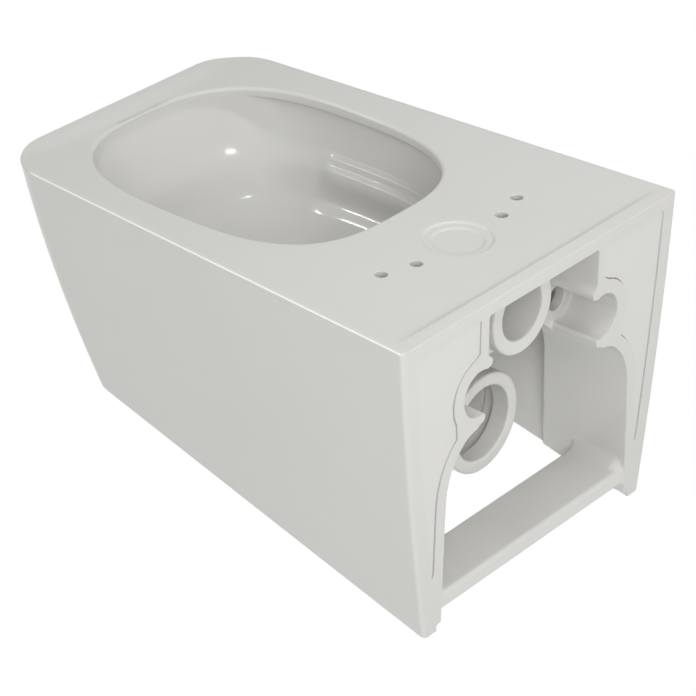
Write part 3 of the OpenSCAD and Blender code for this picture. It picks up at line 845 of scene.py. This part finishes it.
def tube(name, depth, outer, bore, y_from, y_to, step=None, edge=1.2):
    """A level tube. Its open end is rounded, and its bore may step out part of the way in."""
    nip = 0.3 * edge
    profile = [(outer - edge, y_from), (outer - nip, y_from - nip), (outer, y_from - edge), (outer, y_to)]
    if step:
        step_r, step_y = step
        profile += [(step_r, y_to), (step_r, step_y - 0.5)]
        profile += [(step_r - 1.0, step_y + 0.6), (bore, step_y + 0.8)]
    else:
        profile += [(bore, y_to)]
    profile += [(bore, y_from - edge), (bore + nip, y_from - nip), (bore + edge, y_from)]
    return revolve(name, profile, 128, at=(0, 0, depth), along="y")


def level_plug(name, radius, y_from, y_to, x, depth, steps=64):
    """A round plug that lies along y, to cut a hole or to mark a room."""
    profile = [(0.0, y_from), (radius, y_from), (radius, y_to), (0.0, y_to)]
    return revolve(name, profile, steps, at=(x, 0, depth), along="y")


bulkhead_side = [
    (116, DECK_T - HIDE), (116, 108), (97, 121), (84.5, 120), (78.5, 113.5), (70, 107), (61, 104),
]
bulkhead_outline = bulkhead_side + mirrored(bulkhead_side)[::-1]
bulkhead = prism("pan_bulkhead", bulkhead_outline, -CHANNEL_DEPTH, -CHANNEL_DEPTH - BULKHEAD_T)
for x in (-STUD_X, STUD_X):
    carve(bulkhead, level_plug("stud_punch", STUD_HOLE_R, -100, 0, x, STUD_DROP))
carve(bulkhead, level_plug("horn_room", HORN_ROOM_R, -100, 0, 0, INLET_D))
horn = tube("pan_flush_horn", INLET_D, INLET_OUT, INLET_R, INLET_FACE, INLET_END)
outlet_step = (OUTLET_STEP, OUTLET_STEP_Y)
spigot = tube("pan_outlet", OUTLET_D, OUTLET_R, OUTLET_IN, OUTLET_FACE, OUTLET_END, outlet_step)

nosing = []
for a in range(0, 91, 10):
    t = math.radians(a)
    nosing.append((SILL_REAR - NOSING + NOSING * math.cos(t), SILL_TOP + NOSING - NOSING * math.sin(t)))
sill_profile = [(SILL_REAR, SILL_LOW)] + nosing + [(-SILL_DEPTH, SILL_TOP), (-SILL_DEPTH, SILL_LOW)]
sill = grid_solid("pan_sill", [[(x, y, d) for y, d in sill_profile] for x in (-145, 145)])


def corner_fill(name, side, level, up, sizes):
    """A hollow corner between the sill and an upright. Its radius grows away from the wall."""
    rows = []
    corner, past = side * FILL_X, 5
    for y, r in sizes:
        arc = [(corner - side * (r - r * math.sin(t)), level - up * (r - r * math.cos(t)))
               for t in [math.radians(a) for a in range(0, 91, 10)]]
        back = [(corner + side * past, level - up * r), (corner + side * past, level + up * past),
                (corner - side * r, level + up * past)]
        rows.append([(x, y, d) for x, d in arc + back])
    return grid_solid(name, rows)


UPPER_SIZES = [(-2.8, 0.6), (-4, 4), (-6, 10), (-8.5, 14.5), (-12, 17), (-61, 17)]
LOWER_SIZES = [(-3, 0.6), (-5, 3), (-7, 6), (-10, 8), (-61, 8)]
fills = []
for side in (-1, 1):
    fills.append(corner_fill("fill", side, SILL_TOP, 1, UPPER_SIZES))
    fills.append(corner_fill("fill", side, SILL_LOW, -1, LOWER_SIZES))
print("bulkhead, horn, outlet and sill:", [len(o.data.polygons) for o in (bulkhead, horn, spigot, sill)])

# %% [markdown]
# ## Melting the cast pieces together
# A voxel remesh turns the overlapping solids into one skin, as the slip does when the
# pieces are stuck together in the mould. A little smoothing then rounds every edge by a
# millimetre or two, which is what the glaze does in the kiln.

# %% melt and soften
WALL_SIDE_VOXEL, OUTLET_VOXEL = 1.3, 1.1
SMOOTHING_PASSES = 3


def join(name, things):
    """Several solids as one object. They may overlap."""
    work = bmesh.new()
    for thing in things:
        work.from_mesh(thing.data)
    mesh = bpy.data.meshes.new(name)
    work.to_mesh(mesh)
    work.free()
    for thing in things:
        bpy.data.objects.remove(thing)
    whole = bpy.data.objects.new(name, mesh)
    bpy.context.scene.collection.objects.link(whole)
    return whole


def melt(thing, voxel_mm):
    """One smooth skin round everything in a piece."""
    skin = thing.modifiers.new("melt", "REMESH")
    skin.mode = "VOXEL"
    skin.voxel_size = voxel_mm / 1000
    soft = thing.modifiers.new("soften", "SMOOTH")
    soft.factor = 0.5
    soft.iterations = SMOOTHING_PASSES
    bake(thing)
    return thing


def rim_groove(name, outline, width, y_to):
    """A narrow groove just inside an outline, where the pocket's panel meets its rim."""
    p = np.array(outline, float)
    along = np.roll(p, -1, axis=0) - np.roll(p, 1, axis=0)
    along /= np.linalg.norm(along, axis=1)[:, None]
    area = np.sum(p[:, 0] * np.roll(p[:, 1], -1) - np.roll(p[:, 0], -1) * p[:, 1])
    inner = p + np.column_stack([-along[:, 1], along[:, 0]]) * width * np.sign(area)
    loops = ((p, 5), (p, y_to), (inner, y_to), (inner, 5))
    return grid_solid(name, [[(x, y, d) for x, d in loop] for loop, y in loops], ring_of_rows=True)


whole = melt(join("pan_wall_side", [*uprights, bulkhead, horn, sill, *fills]), WALL_SIDE_VOXEL)
# the rear faces are cut flat just inside the wall plane
carve(whole, prism("wall", [(-230, -20), (230, -20), (230, 340), (-230, 340)], 9, -FLUSH))
for pocket in (pocket_outline(), mirrored(pocket_outline())):
    carve(whole, prism("pocket", pocket, 5, -POCKET_DEPTH))
    carve(whole, rim_groove("groove", pocket, GROOVE_W, -GROOVE_DEPTH))
print("wall side", len(whole.data.polygons), "faces")

# %% [markdown]
# ## Naming the parts again
# The skin is parted on flat ground, where a seam can't be seen, so that each cast part can
# be picked by its name: two uprights, the bulkhead, the horn and the sill.

# %% part the skin


def copy_of(thing, name):
    twin = bpy.data.objects.new(name, thing.data.copy())
    bpy.context.scene.collection.objects.link(twin)
    return twin


def kept_inside(thing, name, tool):
    """Takes what lies inside the tool away from a thing, as a piece of its own."""
    piece = copy_of(thing, name)
    carve(piece, tool, "INTERSECT", keep_tool=True)
    carve(thing, tool)
    return piece


def room(outline):
    """A block that reaches from behind the wall plane to the far end of the uprights."""
    return prism("room", outline, 20, -120)


upright_room = [(69, -5), (69, 110), (100, 140), (119, 250), (119, 330), (230, 330), (230, -5)]
sill_room = [(-130, 240), (130, 240), (130, 330), (-130, 330)]
left_upright = kept_inside(whole, "pan_left_upright", room(upright_room))
right_upright = kept_inside(whole, "pan_right_upright", room(mirrored(upright_room)))
sill = kept_inside(whole, "pan_sill", room(sill_room))
horn = kept_inside(whole, "pan_flush_horn", level_plug("room", 47.5, -130, 10, 0, INLET_D, 128))
whole.name = "pan_bulkhead"
bulkhead = whole
outlet = melt(spigot, OUTLET_VOXEL)
outlet.name = "pan_outlet"
wall_parts = (left_upright, right_upright, bulkhead, sill, horn, outlet)
print("parts:", {part.name: len(part.data.polygons) for part in wall_parts})

# %% [markdown]
# ## The glaze
# Sanitary glaze is a thin, hard, slightly grey coat of glass over white clay. It is almost
# even in colour, with a faint warmth and a very slight waviness that shows in reflections.
# Along the long outer top edges of the deck its colour is painted lighter, as a painted highlight.
# The ground face that stands against the wall has no glaze and is duller.

# %% glaze material
# the colour of the painted highlight along the deck's long outer top edges
PAINTED_EDGE_HIGHLIGHT = (0.97, 0.97, 0.95, 1)
GROUND_ROUGH = 0.62
GROUND_Y = (-0.0012, -0.0004)  # metres from the wall plane, from glazed to ground
HIGHLIGHT_X = (0.1982, 0.1992)  # half widths of the deck at the wall, from plain colour to the painted highlight
HIGHLIGHT_Z = (0.0866, 0.0872)  # heights above the studs, from plain colour to the painted highlight


def noise(nodes, link, where, scale, detail=2.0):
    texture = nodes.new("ShaderNodeTexNoise")
    texture.inputs["Scale"].default_value = scale
    texture.inputs["Detail"].default_value = detail
    link(where, texture.inputs["Vector"])
    return texture.outputs["Fac"]


def mapped(nodes, link, value, span, low=0.0, high=1.0):
    """A value that runs from low to high while the given one runs over the span."""
    ramp = nodes.new("ShaderNodeMapRange")
    ramp.inputs["From Min"].default_value, ramp.inputs["From Max"].default_value = span
    ramp.inputs["To Min"].default_value = low
    ramp.inputs["To Max"].default_value = high
    link(value, ramp.inputs["Value"])
    return ramp.outputs["Result"]


def worked_out(nodes, link, operation, *values):
    """A math node, fed with numbers and with the outputs of other nodes."""
    node = nodes.new("ShaderNodeMath")
    node.operation = operation
    for socket, value in zip(node.inputs, values):
        if isinstance(value, float):
            socket.default_value = value
        else:
            link(value, socket)
    return node.outputs[0]


def drifting_colour(nodes, link, where, colour):
    """The glaze's colour, a hair darker and lighter from place to place."""
    tone = nodes.new("ShaderNodeValToRGB")
    dark, light = tone.color_ramp.elements
    dark.position, light.position = 0.3, 0.7
    r, g, b = colour
    dark.color = (r * 0.985, g * 0.985, b * 0.98, 1)
    light.color = (r * 1.012, g * 1.012, b * 1.012, 1)
    link(noise(nodes, link, where, 7.0, 3.0), tone.inputs["Fac"])
    return tone.outputs["Color"]


def glaze_material(name, colour, rough, coat_weight=0.35, coat_rough=0.1):
    mat = bpy.data.materials.new(name)
    mat.use_nodes = True
    nodes, link = mat.node_tree.nodes, mat.node_tree.links.new
    shader = nodes["Principled BSDF"]
    shader.inputs["IOR"].default_value = 1.5
    shader.inputs["Coat Weight"].default_value = coat_weight
    shader.inputs["Coat Roughness"].default_value = coat_rough
    where = nodes.new("ShaderNodeTexCoord").outputs["Object"]
    place = nodes.new("ShaderNodeSeparateXYZ")
    link(where, place.inputs["Vector"])

    # slight waves
    bump = nodes.new("ShaderNodeBump")
    bump.inputs["Strength"].default_value = 0.12
    bump.inputs["Distance"].default_value = 0.0006
    link(noise(nodes, link, where, 22.0), bump.inputs["Height"])
    link(bump.outputs["Normal"], shader.inputs["Normal"])

    # the ground face is duller than the glaze
    glazed = mapped(nodes, link, noise(nodes, link, where, 90.0), (0.0, 1.0), rough - 0.03, rough + 0.04)
    dull = nodes.new("ShaderNodeMix")
    dull.data_type = "FLOAT"
    dull.inputs["B"].default_value = GROUND_ROUGH
    link(mapped(nodes, link, place.outputs["Y"], GROUND_Y), dull.inputs["Factor"])
    link(glazed, dull.inputs["A"])
    link(dull.outputs["Result"], shader.inputs["Roughness"])

    # painted highlight: the colour is lighter where a place is both far out and close under the top
    across = worked_out(nodes, link, "ABSOLUTE", place.outputs["X"])
    width_at_wall = worked_out(nodes, link, "MULTIPLY_ADD", place.outputs["Y"], -PLAN_TAPER, across)
    highlight_at_side = mapped(nodes, link, width_at_wall, HIGHLIGHT_X)
    highlight_at_top = mapped(nodes, link, place.outputs["Z"], HIGHLIGHT_Z)
    # mixes the painted highlight into the glaze's colour along those edges
    painted_highlight = nodes.new("ShaderNodeMix")
    painted_highlight.data_type = "RGBA"
    painted_highlight.inputs["B"].default_value = PAINTED_EDGE_HIGHLIGHT
    link(worked_out(nodes, link, "MULTIPLY", highlight_at_side, highlight_at_top), painted_highlight.inputs["Factor"])
    link(drifting_colour(nodes, link, where, colour), painted_highlight.inputs["A"])
    link(painted_highlight.outputs["Result"], shader.inputs["Base Color"])
    return mat


GLAZE = glaze_material("satin_glaze", (0.655, 0.65, 0.625), 0.3)
BOWL_GLAZE = glaze_material("bowl_glaze", (0.645, 0.64, 0.61), 0.22, 0.8, 0.07)
INNER_GLAZE = glaze_material("inner_glaze", (0.62, 0.615, 0.59), 0.35)
print("materials", [m.name for m in (GLAZE, BOWL_GLAZE, INNER_GLAZE)])

# %% shading and materials


def finish_surface(thing, material, sharp_deg=35):
    """Smooth shading, with edges sharper than the angle kept, and one material all over."""
    mesh = thing.data
    mesh.materials.clear()
    mesh.materials.append(material)
    mesh.polygons.foreach_set("material_index", np.zeros(len(mesh.polygons), np.int32))
    mesh.shade_smooth()
    mesh.set_sharp_from_angle(angle=math.radians(sharp_deg))
    weigh = thing.modifiers.new("even_normals", "WEIGHTED_NORMAL")
    weigh.mode = "FACE_AREA"
    weigh.keep_sharp = True
    bake(thing)


finish_surface(deck, GLAZE, 42)
finish_surface(skirt, GLAZE)
finish_surface(bowl, BOWL_GLAZE, 40)
for part in wall_parts:
    finish_surface(part, GLAZE, 60)
for name in ("flush_distributor", "trap_bend_entry", "trap_bend_dip", "trap_riser", "trap_crown",
             "trap_drop_leg"):
    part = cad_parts[name]
    part.data.materials.clear()
    part.data.materials.append(INNER_GLAZE)

for thing, slot, node in (
    (deck, "glazed_deck", "deck"),
    (skirt, "glazed_skirt", "outer_skirt"),
    (bowl, "glazed_bowl", "bowl"),
    (left_upright, "glazed_wall_side", "left_pillar"),
    (right_upright, "glazed_wall_side", "right_pillar"),
    (bulkhead, "glazed_wall_side", "stud_bulkhead"),
    (sill, "glazed_wall_side", "rear_sill"),
    (horn, "glazed_wall_side", "flush_inlet_horn"),
    (outlet, "glazed_wall_side", "outlet_spigot"),
):
    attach(thing, "root")
    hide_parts(node)
print("surfaces finished")

# %% [markdown]
# ## Floor, background and light
# The pan hangs over a pale floor. The photograph has a white background, so the floor is
# white to the camera and in reflections, and the world is white to the camera, while the
# light that falls on the pan stays at a plain level. Three broad lights shape it. Two small
# ones leave the bright spots and lines that show how glossy the glaze is.

# %% stage
FLOOR_Z, FLOOR_REACH = -0.36, 6
WORLD_LIGHT = 0.56

corners = [(FLOOR_REACH * x, FLOOR_REACH * y, FLOOR_Z) for x, y in ((-1, -1), (1, -1), (1, 1), (-1, 1))]
floor = new_object("studio_floor", corners, [(0, 1, 2, 3)])

floor_mat = bpy.data.materials.new("pale_floor")
floor_mat.use_nodes = True
nodes, link = floor_mat.node_tree.nodes, floor_mat.node_tree.links.new
nodes.clear()
out = nodes.new("ShaderNodeOutputMaterial")
paint = nodes.new("ShaderNodeBsdfDiffuse")
paint.inputs["Color"].default_value = (0.8, 0.8, 0.79, 1)
glow = nodes.new("ShaderNodeEmission")
glow.inputs["Color"].default_value = (1, 1, 1, 1)
glow.inputs["Strength"].default_value = 1.0
path = nodes.new("ShaderNodeLightPath").outputs
seen = worked_out(nodes, link, "MAXIMUM", path["Is Camera Ray"], path["Is Glossy Ray"])
seen = worked_out(nodes, link, "MAXIMUM", seen, path["Is Transmission Ray"])
blend = nodes.new("ShaderNodeMixShader")
link(seen, blend.inputs["Fac"])
link(paint.outputs[0], blend.inputs[1])
link(glow.outputs[0], blend.inputs[2])
link(blend.outputs[0], out.inputs["Surface"])
floor.data.materials.append(floor_mat)

world = bpy.data.worlds.new("studio_world")
world.use_nodes = True
bpy.context.scene.world = world
nodes, link = world.node_tree.nodes, world.node_tree.links.new
sky = nodes["Background"]
sky.inputs["Color"].default_value = (1, 1, 1, 1)
ray = nodes.new("ShaderNodeLightPath").outputs
level = mapped(nodes, link, ray["Is Camera Ray"], (0.0, 1.0), WORLD_LIGHT, 1.0)
link(level, sky.inputs["Strength"])
print("floor", FLOOR_Z, "m under the studs, world light", WORLD_LIGHT)

# %% lights


def soft_light(name, at, toward, size, power, mirrored_in_glaze=True):
    """An oval area light. Its place and size are in metres and its power is in watts."""
    lamp = bpy.data.lights.new(name, "AREA")
    lamp.shape = "ELLIPSE"
    lamp.size, lamp.size_y = size
    lamp.energy = power
    thing = bpy.data.objects.new(name, lamp)
    thing.location = at
    aim = Vector(toward) - thing.location
    thing.rotation_euler = aim.to_track_quat("-Z", "Y").to_euler()
    thing.visible_glossy = mirrored_in_glaze
    bpy.context.scene.collection.objects.link(thing)


soft_light("camera_side_light", (1.5, 1.68, 1.1), (0, -0.1, 0), (1.6, 1.6), 28, False)
soft_light("rear_light", (0.2, 1.6, 1.6), (0, -0.15, 0), (1.8, 1.8), 3.0, False)
soft_light("top_light", (-0.1, 0.3, 0.95), (0, -0.2, 0), (0.7, 0.7), 1.8, False)
soft_light("spark_light", (-0.03, 0.33, 0.92), (0, -0.25, 0), (0.24, 0.09), 0.6)
soft_light("edge_light", (0.74, -1.37, 1.33), (-0.13, -0.29, 0.02), (0.22, 0.22), 2.2)
bpy.context.scene.view_settings.view_transform = "Standard"
